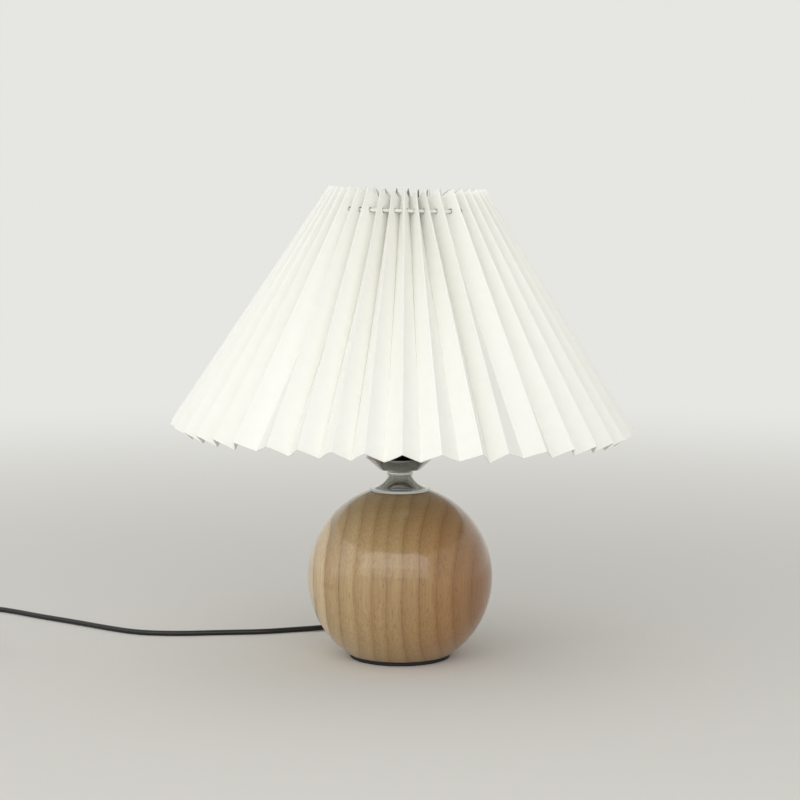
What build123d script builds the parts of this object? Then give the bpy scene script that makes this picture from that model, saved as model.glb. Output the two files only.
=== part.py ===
from build123d import *
import math
import os

# Pleated table lamp: a turned wood ball, a chrome neck and dish, an E27 holder with its bulb, and a
# pleated shade that hangs on a wire ring. Millimetres, +Z up, origin on the table under the ball.
# Seen from the front, which is -Y, +X is to the right. The cord leaves at the back and lies to the left.

# Clearances
slide_gap = 0.3          # round faces of pieces that turn on each other
seat_gap = 0.2           # flat or round faces of pieces that are assembled by hand
weld_gap = 0.05          # wire that meets a round wire

# Wood ball and its pad
ball_d = 121.0
ball_foot_d = 69.0       # flat turned under the ball
ball_seat_d = 38.0       # flat turned on top of the ball
pad_d = 66.0
pad_h = 3.0
recess_d = 30.0          # pocket under the ball for the nut
recess_h = 27.0
cord_hole_d = 8.0
cord_hole_z = 12.0       # height of the cord hole's middle over the table

# Threaded tube and its fasteners
tube_d = 10.0
tube_bore_d = 7.0
tube_tail = 2.0          # thread that stands out of the nut
washer_d = 26.0
washer_h = 1.5
nut_flats = 14.0
nut_h = 6.0

# Chrome neck
flange_d = 39.5
flange_h = 9.7
flange_lip_h = 1.6
flange_lip_w = 1.5       # width of the rim that stands on the ball
flange_sag = 2.3         # hollow of the trumpet's flank
neck_d = 15.6
neck_h = 3.4
neck_bulge = 0.8
chrome_wall = 1.1
cup_floor_d = 17.0
cup_knee_d = 26.4
cup_knee_h = 0.6
cup_d = 44.6
cup_h = 8.6

# Lamp holder
holder_floor_d = 16.0
holder_floor_h = 7.8
holder_cone_h = 11.0
holder_d = 38.8
holder_h = 21.8
holder_wall = 2.4
ledge_h = 13.8           # height of the insert's ledge over the holder's underside
ledge_w = 2.0
shoulder_d = 44.0
shoulder_h = 2.5
skirt_d = 38.6
skirt_wall = 2.0
skirt_h = 30.0
skirt_mouth_d = 29.6
skirt_lip_h = 2.0
insert_h = 10.0
shell_bore_d = 27.0
shell_wall = 0.5
shell_h = 25.0
contact_h = 4.2
contact_w = 6.0
contact_t = 0.8
contact_l = 20.0
terminal_x = 8.0
terminal_screw_d = 3.0
terminal_head_d = 5.6
terminal_head_h = 1.8

# Bulb, E27
bulb_d = 60.0
bulb_cap_d = 26.2
bulb_cap_h = 20.5
bulb_button_d = 9.5
bulb_button_h = 1.6
bulb_insulator_h = 3.3
bulb_insulator_d = 23.0
bulb_body_h = 33.0
bulb_body_d = 55.0
bulb_flare_sag = 1.5
bulb_globe_h = 46.5
bulb_wall = 1.4

# Pleated shade
pleats = 42
shade_bottom_d = 300.0   # over the outer folds
shade_top_d = 100.4
shade_h = 153.8          # along the outer folds; the inner folds hang lower
pleat_w = 14.8           # one panel, fold to fold
sheet_t = 0.6
shade_over_ring = 14.2   # shade that stands above the ring
shade_trim = 2.0         # sheet that is left on beyond both ends, then cut off
shade_levels = (0.0, 0.12, 0.3, 0.6, 1.0)  # heights of the sections, as shares from the top down
ring_rise = 146.5        # ring above the holder's shoulder
wire_d = 2.0
hole_d = 3.4             # punched holes
legs = 3
leg_foot_h = 20.0
leg_knee_h = 57.0
leg_knee_r = 38.5
leg_top_r = 40.5
leg_foot_bend = 8.0
leg_knee_bend = 20.0
leg_top_bend = 4.0
collar_d = 57.0
collar_h = 2.0
nut_ring_d = 48.0
nut_ring_h = 5.8
nut_ring_ribs = 24
nut_ring_rib_d = 1.6

# Cord and what is on it
cord_d = 3.6
arc_share = 0.45         # of the shorter run, taken by the arc at each corner
core_d = 1.7
core_x = 1.0
core_bend = 6.0
core_end_bend = 2.0
sleeve_in = 19.0         # strain relief inside the ball
sleeve_out = 11.3        # strain relief outside the ball
sleeve_tip_d = 5.6
sheath_end_y = 8.5       # the sheath is stripped from here on

switch_x = -342.5
switch_y = 58.0
switch_l = 60.0
switch_w = 26.0
switch_h = 14.0
switch_wall = 2.0
switch_corner = 7.0
switch_edge = 2.5
switch_straight = 5.0    # cord that leaves the switch in a straight line
rocker_w = 12.0
rocker_l = 22.0
rocker_tilt = 7.0        # to each side
rocker_pivot_z = 11.0
rocker_pin_d = 2.0
rocker_end_gap = 0.7     # lets the rocker's ends swing
rib_t = 2.0              # bearing ribs of the rocker's pin
rib_drop = 2.5
switch_screw_x = 7.8
switch_screw_y = 22.5
switch_screw_d = 2.6
switch_screw_head_d = 5.2
switch_screw_head_h = 1.6
boss_d = 6.0
terminal_block = (8.0, 6.0, 6.0)
terminal_block_y = 13.0

coil_x = -317.5
coil_y = -15.0
coil_mid_r = 20.6
coil_turns = 2.5         # turns in one layer
coil_layers = 4
turn_gap = 0.5
layer_gap = 0.5
tie_w = 8.0
tie_t = 0.7
tie_gap = 0.35
tie_corner = 1.2
link_straight = 11.4     # cord that enters the coil in a straight line
link_sag = 0.5

plug_x = -340.0
tail_run = 44.0          # from the coil to the plug
tail_straight = 9.7      # cord that leaves the coil and enters the plug in a straight line
tail_sway = 0.6
plug_sleeve_l = 12.0
plug_sleeve_tip_d = 5.4
plug_body_l = 26.0
plug_shoulder_l = 12.0
plug_w = 35.3
plug_h = 13.7
plug_flat_w = 23.0
plug_rear_w = 13.0
plug_rear_h = 9.4
plug_rear_flat_w = 8.0
pin_d = 4.0
pin_l = 19.0
pin_spacing = 18.6

# Heights that follow from the sizes above
ball_r = ball_d / 2
ball_z = pad_h + math.sqrt(ball_r**2 - (ball_foot_d / 2) ** 2)
seat_z = ball_z + math.sqrt(ball_r**2 - (ball_seat_d / 2) ** 2)
recess_top_z = pad_h + recess_h
nut_z = recess_top_z - washer_h - nut_h
tube_bottom_z = nut_z - tube_tail
neck_z = seat_z + flange_h
cup_z = neck_z + neck_h
holder_z = cup_z + chrome_wall
tube_top_z = holder_z + holder_floor_h - seat_gap
ledge_z = holder_z + ledge_h
shoulder_z = holder_z + holder_h
insert_top_z = ledge_z + insert_h
bulb_z = insert_top_z + contact_h + seat_gap
ring_z = shoulder_z + ring_rise
shade_top_z = ring_z + shade_over_ring
shade_bottom_z = shade_top_z - shade_h
tube_hole_r = tube_d / 2 + seat_gap / 2
cord_r = cord_d / 2
wire_r = wire_d / 2


def write(builder, name):
    """Name a finished piece and write it to its own file."""
    builder.part.label = name
    export_step(builder.part, f"parts/{name}.step")


def arc_radii(points):
    """The largest arc that each corner of a cord's route has room for."""
    radii = []
    for before, corner, after in zip(points, points[1:], points[2:]):
        arriving = Vector(*corner) - Vector(*before)
        leaving = Vector(*after) - Vector(*corner)
        half_turn = math.radians(arriving.get_angle(leaving)) / 2
        radii.append(arc_share * min(arriving.length, leaving.length) / math.tan(half_turn))
    return radii


def cord_tube(name, points):
    """A round cord along straight runs that are joined by tangent arcs."""
    radii = arc_radii(points)
    with BuildPart() as tube:
        with BuildLine() as route:
            FilletPolyline(*points, radius=radii)
        with BuildSketch(Plane(route.line @ 0, z_dir=route.line % 0)):
            Circle(cord_r)
        sweep()
    length = route.wire().length
    print(f"{name}: {length:.0f} mm long, radii", *(f"{radius:.0f}" for radius in radii),
          f"volume ratio {tube.part.volume / (math.pi * cord_r**2 * length):.4f}")
    return tube


os.makedirs("parts", exist_ok=True)

# Base

with BuildPart() as wood_ball:
    with BuildSketch(Plane.XZ):
        with Locations((0, ball_z)):
            Circle(ball_r)
        with Locations((0, (pad_h + seat_z) / 2)):
            Rectangle(ball_d, seat_z - pad_h, mode=Mode.INTERSECT)
        with Locations((-ball_r, ball_z)):
            Rectangle(ball_d, 2 * ball_d, mode=Mode.SUBTRACT)
    revolve(axis=Axis.Z)
    with Locations((0, 0, ball_z)):
        Cylinder(tube_hole_r, 2 * ball_d, mode=Mode.SUBTRACT)
    with Locations((0, 0, pad_h)):
        Cylinder(recess_d / 2, recess_h, align=(Align.CENTER, Align.CENTER, Align.MIN), mode=Mode.SUBTRACT)
    with BuildSketch(Plane.XZ.offset(-recess_d / 4)):
        with Locations((0, cord_hole_z)):
            Circle(cord_hole_d / 2)
    extrude(amount=-ball_d, mode=Mode.SUBTRACT)
write(wood_ball, "wood_ball")

with BuildPart() as base_pad:
    Cylinder(pad_d / 2, pad_h, align=(Align.CENTER, Align.CENTER, Align.MIN))
    fillet(base_pad.edges().group_by(Axis.Z)[0], pad_h / 4)
write(base_pad, "base_pad")

with BuildPart() as threaded_tube:
    with BuildSketch(Plane.XY.offset(tube_bottom_z)):
        Circle(tube_d / 2)
        Circle(tube_bore_d / 2, mode=Mode.SUBTRACT)
    extrude(amount=tube_top_z - tube_bottom_z)
write(threaded_tube, "threaded_tube")

with BuildPart() as lower_washer:
    with BuildSketch(Plane.XY.offset(recess_top_z - washer_h)):
        Circle(washer_d / 2)
        Circle(tube_hole_r, mode=Mode.SUBTRACT)
    extrude(amount=washer_h)
write(lower_washer, "lower_washer")

with BuildPart() as lower_nut:
    with BuildSketch(Plane.XY.offset(nut_z)):
        RegularPolygon(nut_flats / 2, 6, major_radius=False)
        Circle(tube_hole_r, mode=Mode.SUBTRACT)
    extrude(amount=nut_h)
write(lower_nut, "lower_nut")

# Chrome neck: a hollow trumpet, a bead and a dish, clamped on the tube

with BuildPart() as neck_flange:
    rim_r = flange_d / 2
    throat_r = neck_d / 2
    with BuildSketch(Plane.XZ):
        with BuildLine():
            flank = SagittaArc((rim_r, seat_z + flange_lip_h), (throat_r, neck_z), flange_sag)
            Polyline(flank @ 1, (tube_hole_r, neck_z), (tube_hole_r, neck_z - chrome_wall))
            ceiling = (throat_r - chrome_wall, neck_z - chrome_wall)
            Line((tube_hole_r, neck_z - chrome_wall), ceiling)
            hollow = SagittaArc(ceiling, (rim_r - flange_lip_w, seat_z), -flange_sag)
            Polyline(hollow @ 1, (rim_r, seat_z), flank @ 0)
        make_face()
    revolve(axis=Axis.Z)
write(neck_flange, "neck_flange")

with BuildPart() as neck_ring:
    with BuildSketch(Plane.XZ):
        with BuildLine():
            bead = SagittaArc((neck_d / 2, neck_z), (neck_d / 2, cup_z), -neck_bulge)
            Polyline(bead @ 1, (tube_hole_r, cup_z), (tube_hole_r, neck_z), bead @ 0)
        make_face()
    revolve(axis=Axis.Z)
write(neck_ring, "neck_ring")

with BuildPart() as holder_cup:
    with BuildSketch(Plane.XZ):
        with BuildLine():
            outside = Polyline(
                (tube_hole_r, cup_z),
                (cup_floor_d / 2, cup_z),
                (cup_knee_d / 2, cup_z + cup_knee_h),
                (cup_d / 2, cup_z + cup_h),
            )
            inside = Polyline(
                (tube_hole_r, cup_z + chrome_wall),
                (cup_floor_d / 2, cup_z + chrome_wall),
                (cup_knee_d / 2 - chrome_wall / 2, cup_z + cup_knee_h + chrome_wall),
                (cup_d / 2 - chrome_wall, cup_z + cup_h),
            )
            SagittaArc(outside @ 1, inside @ 1, -chrome_wall / 3)
            Line(outside @ 0, inside @ 0)
        make_face()
    revolve(axis=Axis.Z)
write(holder_cup, "holder_cup")

# Lamp holder

with BuildPart() as holder_base:
    with BuildSketch(Plane.XZ):
        with BuildLine():
            Polyline(
                (tube_hole_r, holder_z),
                (holder_floor_d / 2, holder_z),
                (holder_d / 2, holder_z + holder_cone_h),
                (holder_d / 2, shoulder_z - shoulder_h),
                (shoulder_d / 2, shoulder_z - shoulder_h),
                (shoulder_d / 2, shoulder_z),
                (holder_d / 2 - holder_wall, shoulder_z),
                (holder_d / 2 - holder_wall, ledge_z),
                (holder_d / 2 - holder_wall - ledge_w, ledge_z),
                (holder_floor_d / 2, holder_z + holder_floor_h),
                (tube_hole_r, holder_z + holder_floor_h),
                close=True,
            )
        make_face()
    revolve(axis=Axis.Z)
write(holder_base, "holder_base")

with BuildPart() as holder_skirt:
    with BuildSketch(Plane.XZ):
        with BuildLine():
            Polyline(
                (skirt_d / 2 - skirt_wall, shoulder_z),
                (skirt_d / 2, shoulder_z),
                (skirt_d / 2, shoulder_z + skirt_h),
                (skirt_mouth_d / 2, shoulder_z + skirt_h),
                (skirt_mouth_d / 2, shoulder_z + skirt_h - skirt_lip_h),
                (skirt_d / 2 - skirt_wall, shoulder_z + skirt_h - skirt_lip_h),
                close=True,
            )
        make_face()
    revolve(axis=Axis.Z)
write(holder_skirt, "holder_skirt")

with BuildPart() as shade_ring_nut:
    nut_ring_z = shoulder_z + collar_h + seat_gap
    with BuildSketch(Plane.XY.offset(nut_ring_z)):
        Circle(nut_ring_d / 2)
        Circle(skirt_d / 2 + seat_gap, mode=Mode.SUBTRACT)
        with PolarLocations(nut_ring_d / 2, nut_ring_ribs):
            Circle(nut_ring_rib_d / 2, mode=Mode.SUBTRACT)
    extrude(amount=nut_ring_h)
write(shade_ring_nut, "shade_ring_nut")

with BuildPart() as holder_insert:
    insert_r = holder_d / 2 - holder_wall - seat_gap
    with BuildSketch(Plane.XY.offset(ledge_z)):
        Circle(insert_r)
        with Locations((terminal_x, 0), (-terminal_x, 0)):
            Circle(terminal_screw_d / 2 + seat_gap, mode=Mode.SUBTRACT)
    extrude(amount=insert_h)
write(holder_insert, "holder_insert")

with BuildPart() as terminal_screws:
    with Locations((terminal_x, 0, insert_top_z), (-terminal_x, 0, insert_top_z)):
        Cylinder(terminal_head_d / 2, terminal_head_h, align=(Align.CENTER, Align.CENTER, Align.MIN))
        Cylinder(terminal_screw_d / 2, insert_h, align=(Align.CENTER, Align.CENTER, Align.MAX))
write(terminal_screws, "terminal_screws")

with BuildPart() as screw_shell:
    with BuildSketch(Plane.XY.offset(insert_top_z)):
        Circle(shell_bore_d / 2 + shell_wall)
        Circle(shell_bore_d / 2, mode=Mode.SUBTRACT)
    extrude(amount=shell_h)
write(screw_shell, "screw_shell")

with BuildPart() as centre_contact:
    contact_reach = contact_l / 2
    with BuildSketch(Plane.YZ.offset(-contact_w / 2)):
        with BuildLine():
            tongue = Polyline(
                (contact_reach, insert_top_z + contact_t / 2),
                (contact_reach / 2, insert_top_z + contact_t / 2),
                (0, insert_top_z + contact_h - contact_t / 2),
                (-contact_reach / 4, insert_top_z + contact_h - contact_t / 2),
            )
            offset(tongue, contact_t / 2, kind=Kind.INTERSECTION)
        make_face()
    extrude(amount=contact_w)
write(centre_contact, "centre_contact")

# Bulb

bulb_cap_z = bulb_z + bulb_button_h + bulb_insulator_h
bulb_body_z = bulb_cap_z + bulb_cap_h
bulb_globe_z = bulb_body_z + bulb_body_h
bulb_top_z = bulb_globe_z + bulb_globe_h

with BuildPart() as bulb_contact:
    with Locations((0, 0, bulb_z)):
        Cylinder(bulb_button_d / 2, bulb_button_h, align=(Align.CENTER, Align.CENTER, Align.MIN))
    fillet(bulb_contact.edges().group_by(Axis.Z)[0], bulb_button_h / 2)
write(bulb_contact, "bulb_contact")

with BuildPart() as bulb_insulator:
    with Locations((0, 0, bulb_z + bulb_button_h)):
        Cone(
            bulb_button_d / 2,
            bulb_insulator_d / 2,
            bulb_insulator_h,
            align=(Align.CENTER, Align.CENTER, Align.MIN),
        )
write(bulb_insulator, "bulb_insulator")

with BuildPart() as bulb_cap:
    with BuildSketch(Plane.XY.offset(bulb_cap_z)):
        Circle(bulb_cap_d / 2)
    extrude(amount=bulb_cap_h)
    fillet(bulb_cap.edges().group_by(Axis.Z)[0], (bulb_cap_d - bulb_insulator_d) / 4)
write(bulb_cap, "bulb_cap")

with BuildPart() as bulb_body:
    with BuildSketch(Plane.XZ):
        with BuildLine():
            flare = SagittaArc(
                (bulb_cap_d / 2, bulb_body_z), (bulb_body_d / 2, bulb_globe_z), bulb_flare_sag
            )
            Polyline(flare @ 1, (0, bulb_globe_z), (0, bulb_body_z), flare @ 0)
        make_face()
    revolve(axis=Axis.Z)
write(bulb_body, "bulb_body")

with BuildPart() as bulb_globe:
    with BuildSketch(Plane.XZ):
        belly_z = bulb_top_z - bulb_d / 2
        with BuildLine():
            outside = ThreePointArc(
                (0, bulb_top_z),
                (bulb_d / 2 * math.sin(math.pi / 4), belly_z + bulb_d / 2 * math.cos(math.pi / 4)),
                (bulb_d / 2, belly_z),
            )
            waist = TangentArc((bulb_d / 2, belly_z), (bulb_body_d / 2, bulb_globe_z), tangent=(0, -1))
            inner_r = bulb_d / 2 - bulb_wall
            inside = ThreePointArc(
                (0, bulb_top_z - bulb_wall),
                (inner_r * math.sin(math.pi / 4), belly_z + inner_r * math.cos(math.pi / 4)),
                (inner_r, belly_z),
            )
            inner_waist = TangentArc(
                (inner_r, belly_z), (bulb_body_d / 2 - bulb_wall, bulb_globe_z), tangent=(0, -1)
            )
            Line(outside @ 0, inside @ 0)
            Line(waist @ 1, inner_waist @ 1)
        make_face()
    revolve(axis=Axis.Z)
write(bulb_globe, "bulb_globe")

# Pleated shade: a strip folded into panels of one width, drawn together by the ring near its top.
# The strip is cut square to its folds, so both ends of an inner fold hang lower than its neighbours'

half_pitch = math.pi / pleats
outer_top_r = shade_top_d / 2
outer_bottom_r = shade_bottom_d / 2
fold_slope = (outer_bottom_r - outer_top_r) / shade_h


def inner_fold_r(outer_r):
    """Radius of the inner fold that lies one panel's width from an outer fold.

    With the half pitch a and the folds' slope s, the cut edge falls by s times its inward reach
    u = outer - inner cos a, so (1 + s^2) u^2 + (inner sin a)^2 is the panel's width squared."""
    stretch = 1 + fold_slope**2
    square = stretch * math.cos(half_pitch) ** 2 + math.sin(half_pitch) ** 2
    half_linear = stretch * outer_r * math.cos(half_pitch)
    constant = stretch * outer_r**2 - pleat_w**2
    return (half_linear - math.sqrt(half_linear**2 - square * constant)) / square


def inner_fall(outer_r, inner_r):
    """How much lower the cut edge is at the inner fold."""
    return fold_slope * (outer_r - inner_r * math.cos(half_pitch))


inner_top_r = inner_fold_r(outer_top_r)
inner_bottom_r = inner_fold_r(outer_bottom_r)
inner_drop = inner_fall(outer_top_r, inner_top_r)
inner_hang = inner_fall(outer_bottom_r, inner_bottom_r)


def fold_radii(z):
    """Radii of the outer and inner folds at a height; both folds are straight lines."""
    outer_share = (shade_top_z - z) / shade_h
    inner_share = (shade_top_z - inner_drop - z) / (shade_h - inner_drop + inner_hang)
    outer_r = outer_top_r + outer_share * (outer_bottom_r - outer_top_r)
    inner_r = inner_top_r + inner_share * (inner_bottom_r - inner_top_r)
    return outer_r, inner_r


def pleat_star(z, side):
    """Corners of the sheet's face at a height: side 1 is the outer face, -1 the inner face.

    A corner of the sheet's middle line moves out by half the sheet divided by the sine of the
    angle between the panel and the radius, so that both faces stay parallel to the panel."""
    outer_r, inner_r = fold_radii(z)
    reach = outer_r - inner_r * math.cos(half_pitch)
    outer_angle = math.atan2(inner_r * math.sin(half_pitch), reach)
    inner_angle = outer_angle + half_pitch
    outer_corner = outer_r + side * sheet_t / 2 / math.sin(outer_angle)
    inner_corner = inner_r + side * sheet_t / 2 / math.sin(inner_angle)
    corners = []
    for fold in range(2 * pleats):
        angle = fold * half_pitch - math.pi / 2
        corner = outer_corner if fold % 2 == 0 else inner_corner
        corners.append((corner * math.cos(angle), corner * math.sin(angle)))
    return corners


ring_r = sum(fold_radii(ring_z)) / 2

with BuildPart() as pleated_shade:
    for level in shade_levels:
        height = shade_top_z + shade_trim - level * (shade_h + inner_hang + 2 * shade_trim)
        with BuildSketch(Plane.XY.offset(height)):
            with BuildLine():
                Polyline(*pleat_star(height, 1), close=True)
            make_face()
            with BuildLine():
                Polyline(*pleat_star(height, -1), close=True)
            make_face(mode=Mode.SUBTRACT)
    loft(ruled=True)
    top_slope = inner_drop / (outer_top_r - inner_top_r)
    bottom_slope = inner_hang / (outer_bottom_r - inner_bottom_r)
    with BuildSketch(Plane.XZ):
        with BuildLine():
            Polyline(
                (0, shade_top_z - top_slope * outer_top_r),
                (2 * outer_top_r, shade_top_z + top_slope * outer_top_r),
                (2 * outer_top_r, shade_top_z + shade_h),
                (0, shade_top_z + shade_h),
                close=True,
            )
        make_face()
        with BuildLine():
            Polyline(
                (0, shade_bottom_z - bottom_slope * outer_bottom_r),
                (2 * outer_bottom_r, shade_bottom_z + bottom_slope * outer_bottom_r),
                (2 * outer_bottom_r, -shade_h),
                (0, -shade_h),
                close=True,
            )
        make_face()
    revolve(axis=Axis.Z, mode=Mode.SUBTRACT)
    with Locations((0, 0, ring_z - (hole_d - wire_d) / 2 + slide_gap)):
        Torus(ring_r, hole_d / 2, mode=Mode.SUBTRACT)
write(pleated_shade, "pleated_shade")

with BuildPart() as gather_ring:
    with Locations((0, 0, ring_z)):
        Torus(ring_r, wire_r)
write(gather_ring, "gather_ring")

with BuildPart() as shade_collar:
    with BuildSketch(Plane.XY.offset(shoulder_z)):
        Circle(collar_d / 2)
        Circle(skirt_d / 2 + slide_gap, mode=Mode.SUBTRACT)
    extrude(amount=collar_h)
    fillet(shade_collar.edges().group_by(SortBy.LENGTH)[-1], collar_h / 4)
write(shade_collar, "shade_collar")

leg_foot_r = collar_d / 2 - wire_d
leg_foot_z = shoulder_z + collar_h
leg_route = [
    (leg_foot_r, leg_foot_z),
    (leg_foot_r, leg_foot_z + leg_foot_h),
    (leg_knee_r, leg_foot_z + leg_knee_h),
    (leg_top_r, ring_z),
    (ring_r - wire_r - weld_gap, ring_z),
]
leg_bends = [leg_foot_bend, leg_knee_bend, leg_top_bend]

with BuildPart() as carrier_legs:
    for leg in range(legs):
        fold = 2 * (pleats // legs) * leg
        outward = Vector(1, 0, 0).rotate(Axis.Z, math.degrees(fold * half_pitch) - 90)
        leg_plane = Plane(origin=(0, 0, 0), x_dir=outward, z_dir=outward.cross(Vector(0, 0, 1)))
        with BuildLine(leg_plane) as leg_line:
            FilletPolyline(*leg_route, radius=leg_bends)
        with BuildSketch(Plane(leg_line.line @ 0, z_dir=leg_line.line % 0)):
            Circle(wire_r)
        sweep(path=leg_line.line)
write(carrier_legs, "carrier_legs")

# Cord inside the ball

exit_y = math.sqrt(ball_r**2 - (ball_z - cord_hole_z) ** 2)
sleeve_end_y = exit_y + sleeve_out

with BuildPart() as cord_sleeve:
    sleeve_r = cord_hole_d / 2 - seat_gap / 2
    sleeve_bore_r = cord_r + seat_gap / 2
    with BuildSketch(Plane.YZ):
        with BuildLine():
            Polyline(
                (exit_y - sleeve_in, cord_hole_z + sleeve_bore_r),
                (exit_y - sleeve_in, cord_hole_z + sleeve_r),
                (exit_y + sleeve_out / 4, cord_hole_z + sleeve_r),
                (sleeve_end_y, cord_hole_z + sleeve_tip_d / 2),
                (sleeve_end_y, cord_hole_z + sleeve_bore_r),
                close=True,
            )
        make_face()
    revolve(axis=Axis((0, 0, cord_hole_z), (0, 1, 0)))
write(cord_sleeve, "cord_sleeve")

with BuildPart() as inner_cord:
    with BuildSketch(Plane.XZ.offset(-sheath_end_y)):
        with Locations((0, cord_hole_z)):
            Circle(cord_r)
    extrude(amount=sheath_end_y - sleeve_end_y)
write(inner_cord, "inner_cord")

with BuildPart() as supply_wires:
    for side in (-1, 1):
        with BuildLine() as core:
            FilletPolyline(
                (side * core_x, sheath_end_y, cord_hole_z),
                (side * core_x, 0, cord_hole_z),
                (side * core_x, 0, tube_top_z),
                (side * terminal_x, 0, ledge_z - core_end_bend),
                (side * terminal_x, 0, ledge_z),
                radius=[core_bend, core_end_bend, core_end_bend / 2],
            )
        with BuildSketch(Plane(core.line @ 0, z_dir=core.line % 0)):
            Circle(core_d / 2)
        sweep(path=core.line)
write(supply_wires, "supply_wires")

# Cord on the table, from the strain relief to the switch

switch_back_y = switch_y + switch_l / 2
switch_front_y = switch_y - switch_l / 2
cord_on_table = cord_r
cord_mid_z = switch_h / 2
switch_entry = switch_l / 2 - terminal_block_y - terminal_block[1] / 2

lead_route = [
    (0, sleeve_end_y, cord_hole_z),
    (0, sleeve_end_y + 10, cord_hole_z),
    (-4.5, 76, 10.2),
    (-13.5, 83, 7.5),
    (-26, 85, 4.9),
    (-39.5, 81.5, 3.0),
    (-54, 76.3, 2.1),
    (-72, 71.8, cord_on_table),
    (-95, 64.2, cord_on_table),
    (-123, 62, cord_on_table),
    (-152, 58.2, cord_on_table),
    (-180, 61.5, cord_on_table),
    (-204, 77.5, cord_on_table),
    (-230, 97.5, cord_on_table),
    (-255, 114.8, cord_on_table),
    (-275, 131, cord_on_table),
    (-292, 142.5, cord_on_table),
    (-310, 145.5, cord_on_table),
    (-326, 140, cord_on_table + 0.3),
    (-336.5, 128.5, cord_on_table + 1.4),
    (-341.8, 112.5, cord_on_table + 3.4),
    (switch_x, switch_back_y + switch_straight, cord_mid_z),
    (switch_x, switch_back_y - switch_entry, cord_mid_z),
]
cord_lead = cord_tube("cord_lead", lead_route)
write(cord_lead, "cord_lead")

# Switch on the cord, along Y: two shells, a rocker on its pin, terminals and screws

switch_mid = cord_mid_z
switch_room = (switch_w - 2 * switch_wall, switch_l - 2 * switch_wall, switch_corner - switch_wall)
screw_spots = [
    (switch_x + switch_screw_x, switch_y + switch_screw_y),
    (switch_x - switch_screw_x, switch_y - switch_screw_y),
]

with BuildPart() as switch_base:
    with BuildSketch():
        with Locations((switch_x, switch_y)):
            RectangleRounded(switch_w, switch_l, switch_corner)
    extrude(amount=switch_mid)
    fillet(switch_base.edges().group_by(Axis.Z)[0], switch_edge / 2)
    with BuildSketch(Plane.XY.offset(switch_wall)):
        with Locations((switch_x, switch_y)):
            RectangleRounded(*switch_room)
    extrude(amount=switch_h, mode=Mode.SUBTRACT)
    with BuildSketch(Plane.XY.offset(switch_wall)):
        with Locations(*screw_spots):
            Circle(boss_d / 2)
    extrude(amount=switch_mid - switch_wall)
    with BuildSketch(Plane.XZ.offset(-switch_y)):
        with Locations((switch_x, switch_mid)):
            Circle(cord_r + seat_gap)
    extrude(amount=switch_l, both=True, mode=Mode.SUBTRACT)
    with Locations(*[(x, y, 0) for x, y in screw_spots]):
        Cylinder(switch_screw_head_d / 2 + seat_gap, 2 * switch_screw_head_h, mode=Mode.SUBTRACT)
        Cylinder(switch_screw_d / 2 + seat_gap, 2 * switch_mid, mode=Mode.SUBTRACT)
write(switch_base, "switch_base")

with BuildPart() as switch_cover:
    with BuildSketch(Plane.XY.offset(switch_mid)):
        with Locations((switch_x, switch_y)):
            RectangleRounded(switch_w, switch_l, switch_corner)
    extrude(amount=switch_h - switch_mid)
    fillet(switch_cover.edges().group_by(Axis.Z)[-1], switch_edge)
    with BuildSketch(Plane.XY.offset(switch_mid)):
        with Locations((switch_x, switch_y)):
            RectangleRounded(*switch_room)
    extrude(amount=switch_h - switch_mid - switch_wall, mode=Mode.SUBTRACT)
    rib_x = rocker_w / 2 + slide_gap + rib_t / 2
    with BuildSketch(Plane.XY.offset(rocker_pivot_z - rib_drop)):
        with Locations((switch_x - rib_x, switch_y), (switch_x + rib_x, switch_y)):
            Rectangle(rib_t, rocker_l / 2)
    extrude(amount=switch_h - switch_wall - rocker_pivot_z + rib_drop)
    with BuildSketch(Plane.XY.offset(switch_mid)):
        with Locations(*screw_spots):
            Circle(boss_d / 2)
    extrude(amount=switch_h - switch_wall - switch_mid)
    with BuildSketch(Plane.XY.offset(switch_mid)):
        with Locations((switch_x, switch_y)):
            Rectangle(rocker_w + 2 * slide_gap, rocker_l + 2 * rocker_end_gap)
    extrude(amount=switch_h, mode=Mode.SUBTRACT)
    with BuildSketch(Plane.YZ.offset(switch_x)):
        with Locations((switch_y, rocker_pivot_z)):
            Circle(rocker_pin_d / 2 + seat_gap / 2)
    extrude(amount=rib_x + rib_t, both=True, mode=Mode.SUBTRACT)
    with BuildSketch(Plane.XZ.offset(-switch_y)):
        with Locations((switch_x, switch_mid)):
            Circle(cord_r + seat_gap)
    extrude(amount=switch_l, both=True, mode=Mode.SUBTRACT)
    with Locations(*[(x, y, switch_mid) for x, y in screw_spots]):
        Cylinder(
            switch_screw_d / 2 + seat_gap / 2,
            switch_h - switch_mid - switch_wall,
            align=(Align.CENTER, Align.CENTER, Align.MIN),
            mode=Mode.SUBTRACT,
        )
write(switch_cover, "switch_cover")

with BuildPart() as switch_rocker:
    lift = rocker_l / 2 * math.sin(math.radians(rocker_tilt))
    top = switch_h - rocker_pivot_z
    tilt = math.radians(rocker_tilt)
    rocker_plane = Plane(
        origin=(switch_x - rocker_w / 2, switch_y, rocker_pivot_z),
        x_dir=(0, math.cos(tilt), -math.sin(tilt)),
        z_dir=(1, 0, 0),
    )
    with BuildSketch(rocker_plane):
        with BuildLine():
            Polyline(
                (-rocker_l / 2, top),
                (0, top - lift / 2),
                (rocker_l / 2, top),
                (rocker_l / 2, 0),
                (rocker_l / 6, -rib_drop),
                (-rocker_l / 6, -rib_drop),
                (-rocker_l / 2, 0),
                close=True,
            )
        make_face()
        Circle(rocker_pin_d / 2 + seat_gap / 2, mode=Mode.SUBTRACT)
    extrude(amount=rocker_w)
write(switch_rocker, "switch_rocker")

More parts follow.
